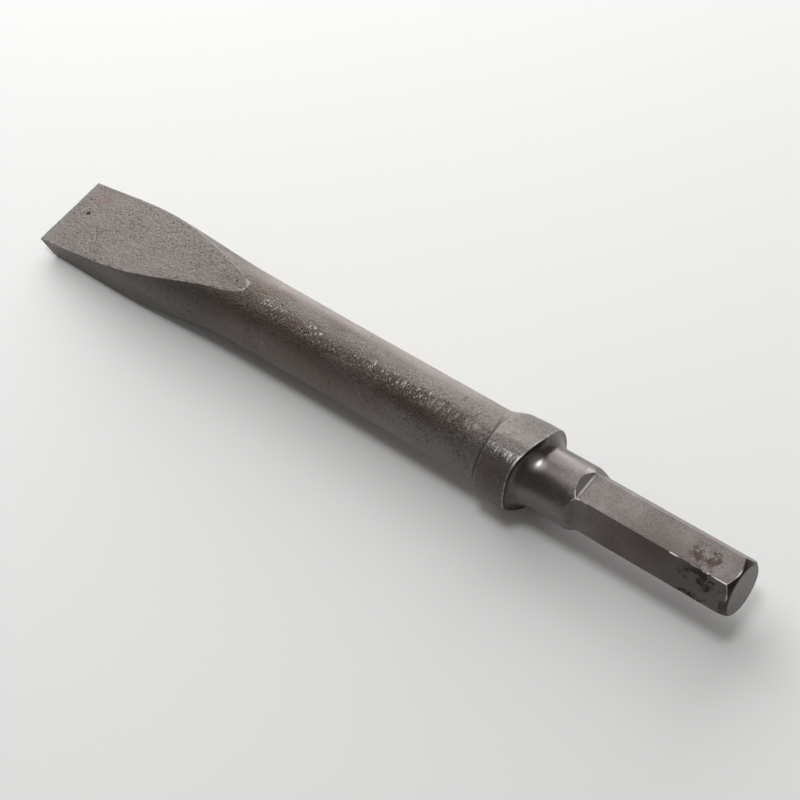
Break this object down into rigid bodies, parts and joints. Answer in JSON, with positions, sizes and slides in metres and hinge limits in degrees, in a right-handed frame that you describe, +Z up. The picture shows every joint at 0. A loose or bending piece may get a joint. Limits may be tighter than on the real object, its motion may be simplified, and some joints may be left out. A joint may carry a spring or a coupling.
{
  "type": "flat chisel",
  "caption": "One-piece forged steel flat chisel with a round bar body, an upset collar and a hexagonal shank for a hand-held breaker hammer.",
  "frame": {"origin": "under the middle of the tool's length, on the horizontal plane that touches the lowest line of the collar", "axes": "+X along the tool's axis from the cutting edge to the striking face, +Y across the blade, parallel to the cutting edge, +Z up, square to the blade, with the long ground face on top"},
  "size_m": [0.4, 0.043, 0.0419],
  "materials": {
    "forged_steel": "dark forged alloy steel, rough with scale and pits on the blade and body, turned satin on the neck and hexagon, stained by oxide near the striking face"
  },
  "bodies": {
    "root": {"flat_chisel": "forged_steel"}
  },
  "joints": []
}
